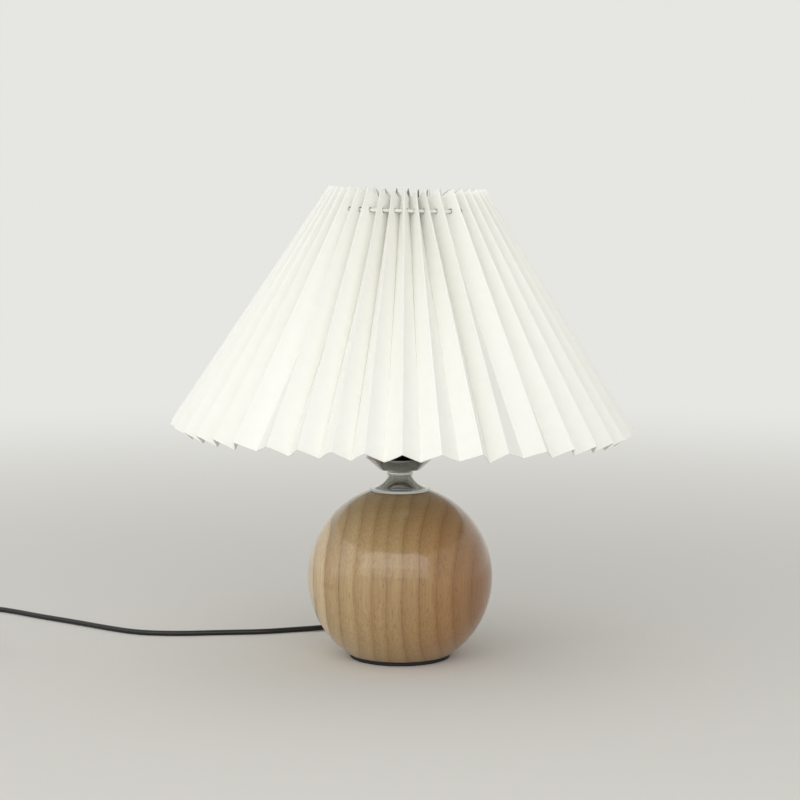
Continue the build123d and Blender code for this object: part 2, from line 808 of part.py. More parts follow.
with BuildPart() as switch_pin:
    with BuildSketch(Plane.YZ.offset(switch_x)):
        with Locations((switch_y, rocker_pivot_z)):
            Circle(rocker_pin_d / 2)
    extrude(amount=rib_x + rib_t / 2, both=True)
write(switch_pin, "switch_pin")

with BuildPart() as switch_contacts:
    with Locations(
        (switch_x, switch_y + terminal_block_y, switch_wall),
        (switch_x, switch_y - terminal_block_y, switch_wall),
    ):
        Box(*terminal_block, align=(Align.CENTER, Align.CENTER, Align.MIN))
write(switch_contacts, "switch_contacts")

with BuildPart() as switch_screws:
    with Locations(*[(x, y, seat_gap) for x, y in screw_spots]):
        Cylinder(
            switch_screw_head_d / 2,
            switch_screw_head_h - seat_gap,
            align=(Align.CENTER, Align.CENTER, Align.MIN),
        )
        Cylinder(
            switch_screw_d / 2,
            switch_h - switch_wall - 2 * seat_gap,
            align=(Align.CENTER, Align.CENTER, Align.MIN),
        )
write(switch_screws, "switch_screws")

# Coil of the cord that is put away, its tie, and the cord to and from it

turn_pitch = cord_d + turn_gap
layer_pitch = cord_d + layer_gap
coil_outer_r = coil_mid_r + coil_turns * turn_pitch / 2
coil_inner_r = coil_mid_r - coil_turns * turn_pitch / 2
coil_z = tie_t + tie_gap + cord_r
steps_per_turn = 4
coil_steps = round(coil_layers * coil_turns * steps_per_turn)
steps_per_layer = round(coil_turns * steps_per_turn)


def coil_point(step):
    """Point and direction of the coil after a number of quarter turns.

    The radius runs in and out at a steady rate, one way in each layer. In the half turn round
    each reversal the cord climbs one layer, and at its middle it goes neither in nor out."""
    layer, place = divmod(step, steps_per_layer)
    share = place / steps_per_layer
    inwards = layer % 2 == 0
    depth = share if inwards else 1 - share
    radius = coil_outer_r - depth * (coil_outer_r - coil_inner_r)
    at_climb = place == 0 and 0 < layer < coil_layers
    z = coil_z + layer * layer_pitch
    drift = turn_pitch / (2 * math.pi) * (-1 if inwards else 1)
    climb = 0
    if at_climb:
        z -= layer_pitch / 2
        drift = 0
        climb = 3 * layer_pitch / (2 * math.pi)
    if step in (0, coil_steps):
        drift = 0
    z = min(z, coil_z + (coil_layers - 1) * layer_pitch)
    angle = math.pi + step * 2 * math.pi / steps_per_turn
    ray = Vector(math.cos(angle), math.sin(angle), 0)
    along = Vector(-math.sin(angle), math.cos(angle), 0)
    point = Vector(coil_x, coil_y, z) + ray * radius
    heading = (along * radius + ray * drift + Vector(0, 0, climb)).normalized()
    return point, heading


def biarc(start, start_heading, end, end_heading):
    """Two tangent arcs from one point and direction to the next, with equal tangent lengths."""
    chord = end - start
    blend = start_heading + end_heading
    square = 2 * (1 - start_heading.dot(end_heading))
    along = chord.dot(blend)
    reach = chord.dot(chord) / (along + math.sqrt(along**2 + square * chord.dot(chord)))
    first = start + start_heading * reach
    last = end - end_heading * reach
    middle = (first + last) * 0.5
    TangentArc(start, middle, tangent=start_heading)
    TangentArc(middle, end, tangent=last - first)


coil_marks = [coil_point(step) for step in range(coil_steps + 1)]
coil_start = coil_marks[0][0] - coil_marks[0][1] * cord_d
coil_end = coil_marks[-1][0] + coil_marks[-1][1] * cord_d

with BuildPart() as cord_coil:
    with BuildLine() as winding:
        Line(coil_start, coil_marks[0][0])
        for (start, start_heading), (end, end_heading) in zip(coil_marks, coil_marks[1:]):
            biarc(start, start_heading, end, end_heading)
        Line(coil_marks[-1][0], coil_end)
    with BuildSketch(Plane(coil_start, z_dir=coil_marks[0][1])):
        Circle(cord_r)
    sweep()
winding_wire = winding.wire()
winding_length = winding_wire.length
samples_per_turn = 48
sample_count = samples_per_turn * coil_layers * round(coil_turns)
samples = [winding_wire @ (i / sample_count) for i in range(sample_count + 1)]
near = samples_per_turn // 2
least = min(
    (samples[i] - samples[j]).length
    for i in range(len(samples))
    for j in range(i + near, len(samples))
)
print(f"cord_coil: {winding_length:.0f} mm long, least gap to itself {least - cord_d:.2f} mm,",
      f"volume ratio {cord_coil.part.volume / (math.pi * cord_r**2 * winding_length):.4f}")
write(cord_coil, "cord_coil")

# At the tie, half a turn past the start, the outer turns lie half a pitch further in. The inner turns
# curve towards the middle over the tie's width.
tie_outer_r = coil_outer_r - turn_pitch / 2 + cord_r + tie_gap
tie_inner_r = math.sqrt((coil_inner_r - cord_r) ** 2 - (tie_w / 2) ** 2) - tie_gap
tie_inner_h = (coil_layers - 1) * layer_pitch + cord_d + 2 * tie_gap

with BuildPart() as coil_tie:
    with BuildSketch(Plane.XZ.offset(-coil_y)):
        with Locations((coil_x + (tie_outer_r + tie_inner_r) / 2, tie_t + tie_inner_h / 2)):
            RectangleRounded(
                tie_outer_r - tie_inner_r + 2 * tie_t, tie_inner_h + 2 * tie_t, tie_corner + tie_t
            )
            RectangleRounded(tie_outer_r - tie_inner_r, tie_inner_h, tie_corner, mode=Mode.SUBTRACT)
    extrude(amount=tie_w / 2, both=True)
write(coil_tie, "coil_tie")

link_top_y = switch_front_y - switch_straight
link_low_y = coil_start.Y + link_straight
link_route = [
    (switch_x, switch_front_y + switch_entry, cord_mid_z),
    (switch_x, link_top_y, cord_mid_z),
    ((switch_x + coil_start.X) / 2, (link_top_y + link_low_y) / 2, (cord_mid_z + coil_z) / 2 - link_sag),
    (coil_start.X, link_low_y, coil_z),
    tuple(coil_start),
]
cord_link = cord_tube("cord_link", link_route)
write(cord_link, "cord_link")

# Plug, flat on the table, its pins towards the front

plug_z = plug_h / 2
tail_drop = coil_end.Z - plug_z
plug_rear_y = coil_end.Y - tail_run
tail_route = [
    tuple(coil_end),
    (coil_end.X, coil_end.Y - tail_straight, coil_end.Z),
    (coil_end.X + tail_sway, coil_end.Y - tail_run / 2, plug_z + tail_drop / 2),
    (plug_x, plug_rear_y + tail_straight, plug_z),
    (plug_x, plug_rear_y, plug_z),
]
cord_tail = cord_tube("cord_tail", tail_route)
write(cord_tail, "cord_tail")

plug_body_y = plug_rear_y - plug_sleeve_l
plug_shoulder_y = plug_body_y - plug_shoulder_l
plug_face_y = plug_body_y - plug_body_l


def plug_hexagon(width, flat, height):
    """Corners of the flat six-sided outline of the plug's body."""
    return [
        (plug_x - width / 2, plug_z),
        (plug_x - flat / 2, plug_z + height / 2),
        (plug_x + flat / 2, plug_z + height / 2),
        (plug_x + width / 2, plug_z),
        (plug_x + flat / 2, plug_z - height / 2),
        (plug_x - flat / 2, plug_z - height / 2),
    ]


with BuildPart() as plug_body:
    with BuildSketch(Plane.XZ.offset(-plug_body_y)):
        with BuildLine():
            Polyline(*plug_hexagon(plug_rear_w, plug_rear_flat_w, plug_rear_h), close=True)
        make_face()
    with BuildSketch(Plane.XZ.offset(-plug_shoulder_y)):
        with BuildLine():
            Polyline(*plug_hexagon(plug_w, plug_flat_w, plug_h), close=True)
        make_face()
    loft(ruled=True)
    with BuildSketch(Plane.XZ.offset(-plug_shoulder_y)):
        with BuildLine():
            Polyline(*plug_hexagon(plug_w, plug_flat_w, plug_h), close=True)
        make_face()
    extrude(amount=plug_shoulder_y - plug_face_y)
    fillet(plug_body.faces().sort_by(Axis.Y)[0].edges(), plug_h / 10)
    with BuildSketch(Plane.XZ.offset(-plug_rear_y)):
        with Locations((plug_x, plug_z)):
            Circle(plug_sleeve_tip_d / 2)
    with BuildSketch(Plane.XZ.offset(-plug_body_y)):
        with Locations((plug_x, plug_z)):
            Circle(plug_rear_flat_w / 2)
    loft()
write(plug_body, "plug_body")

with BuildPart() as plug_pins:
    with BuildSketch(Plane.XZ.offset(-plug_face_y)):
        with Locations((plug_x - pin_spacing / 2, plug_z), (plug_x + pin_spacing / 2, plug_z)):
            Circle(pin_d / 2)
    extrude(amount=pin_l)
    fillet(plug_pins.edges().group_by(Axis.Y)[0], pin_d / 4)
write(plug_pins, "plug_pins")
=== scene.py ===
import math

import bmesh
import bpy
import numpy as np
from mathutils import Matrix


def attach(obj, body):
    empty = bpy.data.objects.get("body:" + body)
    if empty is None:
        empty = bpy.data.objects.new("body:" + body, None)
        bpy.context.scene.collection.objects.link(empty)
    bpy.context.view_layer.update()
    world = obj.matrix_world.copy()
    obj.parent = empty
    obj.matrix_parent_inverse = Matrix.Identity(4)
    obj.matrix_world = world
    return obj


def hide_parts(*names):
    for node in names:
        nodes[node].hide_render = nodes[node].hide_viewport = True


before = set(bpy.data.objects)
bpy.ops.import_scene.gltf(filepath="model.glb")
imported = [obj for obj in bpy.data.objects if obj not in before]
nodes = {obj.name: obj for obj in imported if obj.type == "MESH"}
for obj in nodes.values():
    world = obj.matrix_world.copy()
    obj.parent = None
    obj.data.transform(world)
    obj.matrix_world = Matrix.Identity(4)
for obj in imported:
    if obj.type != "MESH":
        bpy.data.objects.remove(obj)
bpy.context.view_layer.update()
mm = 0.001


def put(name, data):
    """A new object with this data, linked to the scene."""
    placed = bpy.data.objects.new(name, data)
    bpy.context.scene.collection.objects.link(placed)
    return placed


# Camera: read off the photo's perspective, 800 by 800 pixels, no shift, in metres and degrees
camera_distance, camera_height, camera_dip = 1.400, 0.3197, 6.14
camera_data = bpy.data.cameras.new("photo_camera")
camera_data.sensor_width = 36.0
camera_data.lens = 97.4
camera = put("photo_camera", camera_data)
camera.location = (0.0, -camera_distance, camera_height)
camera.rotation_euler = (math.radians(90.0 - camera_dip), 0.0, 0.0)
bpy.context.scene.camera = camera
bpy.context.scene.view_settings.view_transform = "Standard"


def linear(hex_colour):
    """An sRGB hex colour as linear red, green and blue, with an alpha of 1."""
    shown = np.array([int(hex_colour[i:i + 2], 16) for i in (1, 3, 5)]) / 255.0
    lit = np.where(shown <= 0.04045, shown / 12.92, ((shown + 0.055) / 1.055) ** 2.4)
    return (*lit.tolist(), 1.0)


def per_metre(size_mm):
    """The scale of a pattern: how many features of a size in millimetres lie in a metre."""
    return 1.0 / (size_mm * mm)


def add(tree, kind, fields=None, values=None, links=None, stops=None):
    """A new node with its own settings, its sockets' values and what its sockets are linked to.

    A colour ramp also has stops: pairs of a place from 0 to 1 and a hex colour."""
    node = tree.nodes.new("ShaderNode" + kind)
    for name, value in (fields or {}).items():
        setattr(node, name, value)
    for key, value in (values or {}).items():
        node.inputs[key].default_value = value
    for key, socket in (links or {}).items():
        tree.links.new(socket, node.inputs[key])
    if stops:
        elements = node.color_ramp.elements
        for place, _ in stops[1:-1]:
            elements.new(place)
        for element, (place, colour) in zip(elements, stops):
            element.position = place
            element.color = linear(colour)
    return node


def bare_tree(owner):
    """The emptied node tree of a material or a world."""
    owner.use_nodes = True
    owner.node_tree.nodes.clear()
    return owner.node_tree


def finish_of(name, values):
    """A material with one principled shader whose sockets have these values."""
    material = bpy.data.materials.new(name)
    tree = bare_tree(material)
    shader = add(tree, "BsdfPrincipled", values=values)
    add(tree, "OutputMaterial", links={"Surface": shader.outputs[0]})
    return material, tree, shader


multiply_add = {"operation": "MULTIPLY_ADD"}
darken = {"data_type": "RGBA", "blend_type": "MULTIPLY"}


# Lathe-turned hardwood under a coat of oil: upright growth layers about 11 mm thick. Each has its own tone
# and its own strength of dark late edge and pale early wood. Short fine pores run along the grain.
def turned_wood():
    material, tree, shader = finish_of("oiled_hardwood", {
        "Roughness": 0.45, "IOR": 1.48, "Specular IOR Level": 0.2, "Coat Weight": 1.0, "Coat Roughness": 0.11,
    })
    place = add(tree, "TexCoord").outputs["Object"]
    axes = add(tree, "SeparateXYZ", links={0: place})
    # Depth through the layers: X, turned a little towards Y and Z, with a drift of up to 9 mm whose waves
    # are 40 mm wide across the grain and 91 mm long along it
    turn_to_y, turn_to_z, drift_depth = -0.140, -0.012, 9 * mm
    wave_w, wave_l, wave_start = per_metre(40), per_metre(91), 0.31
    waves = add(tree, "Mapping", links={"Vector": place}, values={
        "Location": (wave_start, 0.0, 0.0), "Scale": (wave_w, wave_w, wave_l)})
    drift = add(tree, "TexNoise", values={"Scale": 1.0, "Detail": 1.5}, links={"Vector": waves.outputs[0]})
    turned = add(tree, "Math", multiply_add, {1: turn_to_y}, {0: axes.outputs["Y"], 2: axes.outputs["X"]})
    tipped = add(tree, "Math", multiply_add, {1: turn_to_z}, {0: axes.outputs["Z"], 2: turned.outputs[0]})
    depth = add(tree, "Math", multiply_add, {1: drift_depth}, {0: drift.outputs["Fac"], 2: tipped.outputs[0]})
    # The layer's number gives its tone and strength, the share of its thickness runs up to its dark edge
    layer_t, first_edge = 10.6, -1.36
    layer = add(tree, "Math", multiply_add, {1: per_metre(layer_t), 2: first_edge}, {0: depth.outputs[0]})
    number = add(tree, "Math", {"operation": "FLOOR"}, links={0: layer.outputs[0]})
    share = add(tree, "Math", {"operation": "FRACT"}, links={0: layer.outputs[0]})
    chance = add(tree, "TexWhiteNoise", {"noise_dimensions": "1D"}, links={"W": number.outputs[0]})
    bold = add(tree, "ValToRGB", links={"Fac": share.outputs[0]}, stops=[
        (0.0, "#AC916C"), (0.04, "#C1A882"), (0.30, "#D8C09A"), (0.75, "#E7D3AE"), (0.95, "#D4BA93"),
        (1.0, "#8B6C46"),
    ])
    faint = add(tree, "ValToRGB", links={"Fac": share.outputs[0]}, stops=[
        (0.0, "#D3B992"), (0.6, "#DDC8A2"), (1.0, "#CEB48C"),
    ])
    # On the left the ball is pale sapwood that ends at a line, on the right warmer heartwood with faint
    # lines.
    # The tone darkens steadily towards the right: partly heartwood, partly painted shade on the side away
    # from the light.
    heart = add(tree, "MapRange", values={"From Min": -48 * mm, "From Max": 72 * mm},
                links={"Value": depth.outputs[0]})
    side = add(tree, "ValToRGB", links={"Fac": heart.outputs["Result"]}, stops=[
        (0.0, "#FFFFFF"), (0.077, "#FFFEFA"), (0.081, "#E6E1D8"), (0.30, "#DFD8CA"), (0.50, "#DAD2C1"),
        (0.70, "#CBB296"), (1.0, "#AC835B"),
    ])
    fading = add(tree, "MapRange", links={"Value": heart.outputs["Result"]}, values={
        "From Min": 0.55, "From Max": 0.85, "To Min": 0.85, "To Max": 0.25})
    strength = add(tree, "MapRange", values={"From Min": 0.1, "From Max": 0.9, "To Min": 0.25},
                   links={"Value": chance.outputs["Value"], "To Max": fading.outputs["Result"]})
    layers = add(tree, "Mix", {"data_type": "RGBA"}, links={
        "Factor": strength.outputs["Result"], "A": faint.outputs[0], "B": bold.outputs[0]})
    tones = add(tree, "ValToRGB", links={"Fac": chance.outputs["Color"]}, stops=[
        (0.0, "#EADFD2"), (0.5, "#F6F1EA"), (1.0, "#FFFFFF"),
    ])
    toned = add(tree, "Mix", darken, {"Factor": 1.0}, {"A": layers.outputs["Result"], "B": tones.outputs[0]})
    # Real tone and painted shade: the side ramp darkens the whole ball towards the right
    sap_heart_and_painted_shade = add(tree, "Mix", darken, {"Factor": 1.0}, {"A": toned.outputs["Result"], "B": side.outputs[0]})
    # Fibres: streaks 1.3 mm wide and 45.5 mm long
    fibre_w, fibre_l = per_metre(1.3), per_metre(45.5)
    fibre_way = add(tree, "Mapping", values={"Scale": (fibre_w, fibre_w, fibre_l)}, links={"Vector": place})
    fibres = add(tree, "TexNoise", values={"Scale": 1.0, "Detail": 3.0, "Roughness": 0.6},
                 links={"Vector": fibre_way.outputs[0]})
    streaks = add(tree, "ValToRGB", links={"Fac": fibres.outputs["Fac"]}, stops=[
        (0.30, "#DDD5CA"), (0.50, "#F4F1EC"), (0.72, "#FFFFFF"),
    ])
    grained = add(tree, "Mix", darken, {"Factor": 0.75},
                  {"A": sap_heart_and_painted_shade.outputs["Result"], "B": streaks.outputs[0]})
    # Pores: dark dashes 0.5 mm wide and 5 mm long
    pore_w, pore_l = per_metre(0.5), per_metre(5)
    pore_way = add(tree, "Mapping", values={"Scale": (pore_w, pore_w, pore_l)}, links={"Vector": place})
    pores = add(tree, "TexNoise", values={"Scale": 1.0, "Detail": 1.0}, links={"Vector": pore_way.outputs[0]})
    dashes = add(tree, "ValToRGB", links={"Fac": pores.outputs["Fac"]}, stops=[
        (0.24, "#8A7458"), (0.36, "#FFFFFF"), (1.0, "#FFFFFF"),
    ])
    pored = add(tree, "Mix", darken, {"Factor": 0.55},
                {"A": grained.outputs["Result"], "B": dashes.outputs[0]})
    tree.links.new(pored.outputs["Result"], shader.inputs["Base Color"])
    bump = add(tree, "Bump", values={"Strength": 0.12, "Distance": 0.2 * mm},
               links={"Height": fibres.outputs["Fac"]})
    tree.links.new(bump.outputs[0], shader.inputs["Normal"])
    return material


# Laminated white paper: an almost matt sheet with faint clouds of 6.25 mm and fibres of 0.8 mm
def laminated_paper():
    material, tree, shader = finish_of("laminated_white_paper", {
        "Roughness": 0.62, "IOR": 1.45, "Specular IOR Level": 0.35,
    })
    place = add(tree, "TexCoord").outputs["Object"]
    clouds = add(tree, "TexNoise", values={"Scale": per_metre(6.25), "Detail": 4.0, "Roughness": 0.65},
                 links={"Vector": place})
    tone = add(tree, "ValToRGB", links={"Fac": clouds.outputs["Fac"]}, stops=[
        (0.25, "#F8F8F2"), (0.75, "#FBFBF6"),
    ])
    tree.links.new(tone.outputs[0], shader.inputs["Base Color"])
    fibres = add(tree, "TexNoise", values={"Scale": per_metre(0.8), "Detail": 2.0}, links={"Vector": place})
    bump = add(tree, "Bump", values={"Strength": 0.08, "Distance": 0.1 * mm},
               links={"Height": fibres.outputs["Fac"]})
    tree.links.new(bump.outputs[0], shader.inputs["Normal"])
    return material


# Plated and polished steel: mirror-like, with a faint haze from handling in patches of 3.3 mm
def polished_chrome():
    material, tree, shader = finish_of("polished_chrome", {"Base Color": linear("#C3C4C3"), "Metallic": 1.0})
    place = add(tree, "TexCoord").outputs["Object"]
    haze = add(tree, "TexNoise", values={"Scale": per_metre(3.33), "Detail": 3.0}, links={"Vector": place})
    rough = add(tree, "MapRange", links={"Value": haze.outputs["Fac"]}, values={
        "From Min": 0.3, "From Max": 0.7, "To Min": 0.05, "To Max": 0.14})
    tree.links.new(rough.outputs["Result"], shader.inputs["Roughness"])
    return material


def moulded(name, colour, pale, roughness, grit_mm, bump_strength):
    """A moulded or glazed surface: clouds of 11.1 mm between two tones, and a fine grit."""
    material, tree, shader = finish_of(name, {"Roughness": roughness, "IOR": 1.5})
    place = add(tree, "TexCoord").outputs["Object"]
    clouds = add(tree, "TexNoise", values={"Scale": per_metre(11.1), "Detail": 3.0}, links={"Vector": place})
    tone = add(tree, "ValToRGB", links={"Fac": clouds.outputs["Fac"]}, stops=[(0.3, colour), (0.7, pale)])
    tree.links.new(tone.outputs[0], shader.inputs["Base Color"])
    grit = add(tree, "TexNoise", values={"Scale": per_metre(grit_mm), "Detail": 1.0}, links={"Vector": place})
    bump = add(tree, "Bump", values={"Strength": bump_strength, "Distance": 0.2 * mm},
               links={"Height": grit.outputs["Fac"]})
    tree.links.new(bump.outputs[0], shader.inputs["Normal"])
    return material


def worked_metal(name, dull, bright, smooth, rough, pitch=None):
    """A machined or pressed metal: its tone and its polish vary in patches of 4 mm.

    With a pitch it has a round right-hand thread about the Z axis, as high as sin(2 pi z / pitch - angle)."""
    material, tree, shader = finish_of(name, {"Metallic": 1.0})
    place = add(tree, "TexCoord").outputs["Object"]
    patches = add(tree, "TexNoise", values={"Scale": per_metre(4), "Detail": 4.0}, links={"Vector": place})
    tone = add(tree, "ValToRGB", links={"Fac": patches.outputs["Fac"]}, stops=[(0.3, dull), (0.7, bright)])
    tree.links.new(tone.outputs[0], shader.inputs["Base Color"])
    polish = add(tree, "MapRange", links={"Value": patches.outputs["Fac"]}, values={
        "From Min": 0.3, "From Max": 0.7, "To Min": rough, "To Max": smooth})
    tree.links.new(polish.outputs["Result"], shader.inputs["Roughness"])
    if pitch:
        thread_depth = 0.12 * pitch
        axes = add(tree, "SeparateXYZ", links={0: place})
        angle = add(tree, "Math", {"operation": "ARCTAN2"},
                    links={0: axes.outputs["Y"], 1: axes.outputs["X"]})
        rise = add(tree, "Math", {"operation": "MULTIPLY"}, {1: 2 * math.pi / pitch}, {0: axes.outputs["Z"]})
        phase = add(tree, "Math", {"operation": "SUBTRACT"}, links={0: rise.outputs[0], 1: angle.outputs[0]})
        crest = add(tree, "Math", {"operation": "SINE"}, links={0: phase.outputs[0]})
        bump = add(tree, "Bump", values={"Strength": 1.0, "Distance": thread_depth},
                   links={"Height": crest.outputs[0]})
        tree.links.new(bump.outputs[0], shader.inputs["Normal"])
    return material


wood = turned_wood()
paper = laminated_paper()
chrome = polished_chrome()
# Pressed phenolic of the holder and the switch: smooth and black with a soft gloss
phenolic = moulded("black_phenolic", "#161617", "#1E1E20", 0.32, 0.6, 0.05)
# Extruded PVC of the cord and the plug: a satin black
pvc = moulded("black_pvc", "#131315", "#1B1B1E", 0.36, 0.7, 0.06)
# Rubber of the pad: matt and slightly gritty
rubber = moulded("black_rubber", "#151515", "#1F1E1D", 0.75, 0.5, 0.20)
# Glazed steatite inside the holder: cream and glossy
steatite = moulded("glazed_steatite", "#E6E2D6", "#EFEBE0", 0.25, 1.0, 0.03)
# Opal polycarbonate of the bulb's globe: milky and smooth
opal = moulded("opal_polycarbonate", "#F1F1EC", "#F6F6F2", 0.28, 1.2, 0.02)
# Moulded PBT of the bulb's body: a satin white
bulb_shell = moulded("white_pbt", "#E9E9E5", "#F0F0EC", 0.45, 0.8, 0.05)
# Black glass round the bulb's contact: glossy
black_glass = moulded("black_glass", "#0C0C0E", "#121214", 0.10, 1.5, 0.02)
# Stoved lacquer on the shade's wires: white with a soft gloss and slight orange peel
lacquer = moulded("white_lacquer", "#ECEBE4", "#F4F3EC", 0.35, 0.9, 0.04)
# Insulation of the supply's cores: brown and half matt
core_plastic = moulded("core_insulation", "#4A3A30", "#5A463A", 0.5, 0.6, 0.05)
# Metals: grey zinc, yellow brass and pale nickel, each also with the thread that is rolled or cut in it
bulb_pitch, tube_pitch = 3.63 * mm, 1.0 * mm
zinc = ("#A9ABAD", "#C4C6C8", 0.22, 0.42)
yellow_brass = ("#B4914E", "#D0AC66", 0.20, 0.40)
pale_nickel = ("#B9B6AE", "#D2CFC7", 0.16, 0.32)
steel = worked_metal("zinc_plated_steel", *zinc)
brass = worked_metal("pressed_brass", *yellow_brass)
nickel = worked_metal("nickel_plate", *pale_nickel)
rolled_nickel = worked_metal("rolled_nickel_thread", *pale_nickel, bulb_pitch)
rolled_brass = worked_metal("rolled_brass_thread", *yellow_brass, bulb_pitch)
cut_steel = worked_metal("cut_steel_thread", *zinc, tube_pitch)

dress = {
    "wood_ball": wood, "base_pad": rubber, "threaded_tube": cut_steel, "lower_washer": steel,
    "lower_nut": steel, "neck_flange": chrome, "neck_ring": chrome, "holder_cup": chrome,
    "holder_base": phenolic, "holder_skirt": phenolic, "shade_ring_nut": phenolic, "holder_insert": steatite,
    "terminal_screws": brass, "screw_shell": rolled_brass, "centre_contact": brass, "bulb_contact": nickel,
    "bulb_insulator": black_glass, "bulb_cap": rolled_nickel, "bulb_body": bulb_shell, "bulb_globe": opal,
    "pleated_shade": paper, "gather_ring": lacquer, "shade_collar": lacquer, "carrier_legs": lacquer,
    "cord_sleeve": pvc, "inner_cord": pvc, "supply_wires": core_plastic, "cord_lead": pvc,
    "switch_base": phenolic, "switch_cover": phenolic, "switch_rocker": phenolic, "switch_pin": steel,
    "switch_contacts": brass, "switch_screws": steel, "cord_coil": pvc, "coil_tie": pvc, "cord_link": pvc,
    "cord_tail": pvc, "plug_body": pvc, "plug_pins": nickel,
}
for name, material in dress.items():
    nodes[name].data.materials.clear()
    nodes[name].data.materials.append(material)


def new_piece(name, data, material, body):
    """A piece at the origin, with its place in its mesh or curve, that rides on a body."""
    data.materials.append(material)
    piece = put(name, data)
    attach(piece, body)
    return piece


def mesh_of(name, points, quads):
    """A smooth-shaded mesh from arrays of points and of four-cornered faces."""
    mesh = bpy.data.meshes.new(name)
    mesh.from_pydata(points.reshape(-1, 3), [], quads.reshape(-1, 4))
    mesh.polygons.foreach_set("use_smooth", np.ones(len(mesh.polygons), dtype=bool))
    mesh.update()
    return mesh


def grid_quads(rows, columns, close_rows=False, close_columns=False):
    """Faces of a grid of points numbered row by row: each joins a point to the next one in its row, and both
    to those in the next row. A closed way joins its last line to its first."""
    row = np.arange(rows if close_rows else rows - 1)[:, None]
    column = np.arange(columns if close_columns else columns - 1)[None, :]
    below = (row + 1) % rows
    beside = (column + 1) % columns
    corners = [(row, column), (row, beside), (below, beside), (below, column)]
    return np.stack([r * columns + c for r, c in corners], axis=-1)


# Cord: its radius in metres, and the route's points from the part's source in millimetres
cord_r = 1.8 * mm
sleeve_end = (0.0, 56.06, 12.0)
lead_points = [
    sleeve_end, (0, 66.06, 12.0), (-4.5, 76, 10.2), (-13.5, 83, 7.5), (-26, 85, 4.9), (-39.5, 81.5, 3.0),
    (-54, 76.3, 2.1), (-72, 71.8, 1.8), (-95, 64.2, 1.8), (-123, 62, 1.8), (-152, 58.2, 1.8),
    (-180, 61.5, 1.8), (-204, 77.5, 1.8), (-230, 97.5, 1.8), (-255, 114.8, 1.8), (-275, 131, 1.8),
    (-292, 142.5, 1.8), (-310, 145.5, 1.8), (-326, 140, 2.1), (-336.5, 128.5, 3.2), (-341.8, 112.5, 5.2),
    (-342.5, 93, 7.0), (-342.5, 74, 7.0),
]
link_points = [
    (-342.5, 42, 7.0), (-342.5, 23, 7.0), (-342.86, 11.5, 4.43), (-343.225, 0, 2.85), (-343.225, -11.4, 2.85),
]
tail_points = [
    (-343.225, -18.6, 15.15), (-343.225, -28.3, 15.15), (-342.6, -40.6, 11.0), (-340, -52.9, 6.85),
    (-340, -62.6, 6.85),
]
# Coil: its radius runs in and out once every two layers, and it climbs to the next layer in half a turn. The
# points stand outside that radius by three quarters of what a straight step between two of them cuts off,
# because the spline runs inside them.
coil_x, coil_y, coil_z = -317.5, -15.0, 2.85
coil_outer_r, coil_inner_r = 25.725, 15.475
turns_per_layer, coil_layers, layer_pitch, climb_turns = 2.5, 4, 4.1, 0.5
points_per_turn, outset_share = 24, 0.75
turn = np.arange(turns_per_layer * coil_layers * points_per_turn + 1) / points_per_turn
inward = np.abs((turn / turns_per_layer + 1) % 2 - 1)
outset = math.cos(math.pi / points_per_turn) ** -outset_share
coil_r = (coil_outer_r - inward * (coil_outer_r - coil_inner_r)) * outset
climb = sum(np.clip((turn - turns_per_layer * k) / climb_turns + 0.5, 0, 1) for k in range(1, coil_layers))
coil_angle = math.pi + 2 * math.pi * turn
coil_points = np.stack([
    coil_x + coil_r * np.cos(coil_angle), coil_y + coil_r * np.sin(coil_angle), coil_z + layer_pitch * climb,
], axis=-1).tolist()


def cord_curve(name, points):
    """A round cord on a smooth spline whose control points are the route's points."""
    curve = bpy.data.curves.new(name, "CURVE")
    curve.dimensions = "3D"
    curve.bevel_depth = cord_r
    curve.bevel_resolution = 5
    curve.resolution_u = 6
    curve.use_fill_caps = True
    spline = curve.splines.new("NURBS")
    spline.points.add(len(points) - 1)
    spline.points.foreach_set("co", [v for point in points for v in (*(mm * c for c in point), 1.0)])
    spline.order_u = 3
    spline.use_endpoint_u = True
    return new_piece(name, curve, pvc, "root")


lead = cord_curve("cord_to_switch", lead_points)
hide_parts("cord_lead")
plug_lead = cord_curve("cord_to_plug", link_points + coil_points[1:-1] + tail_points)
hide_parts("cord_link", "cord_coil", "cord_tail")

# Shade: one strip in 84 panels, in millimetres. It leans to the right by this angle about the collar and
# stands a little to the right of the stem.
lean = math.radians(1.2)
aside = 1.2
collar_z = 147.0
shade_top_z, shade_bottom_z = 306.84, 153.04
outer_top_r, outer_bottom_r = 50.2, 150.0
fold_slope = (outer_bottom_r - outer_top_r) / (shade_top_z - shade_bottom_z)
pleats = 42
panels = 2 * pleats
panel_w, panel_l = 14.8, 183.3
sheet_t = 0.6
hole_r = 1.9
ring_z, ring_r, wire_r = 292.64, 50.92, 1.0
hand = np.random.default_rng(7)


def leaned(points, grip=1.0):
    """Points that stand aside and tip to the right about the collar.

    They move over by the sine of the lean times their height, and drop by the sine times their reach."""
    tipped = np.array(points, dtype=float)
    tipped[..., 0] += math.sin(lean) * (points[..., 2] - collar_z) + aside * grip
    tipped[..., 2] -= math.sin(lean) * points[..., 0] * grip
    return tipped


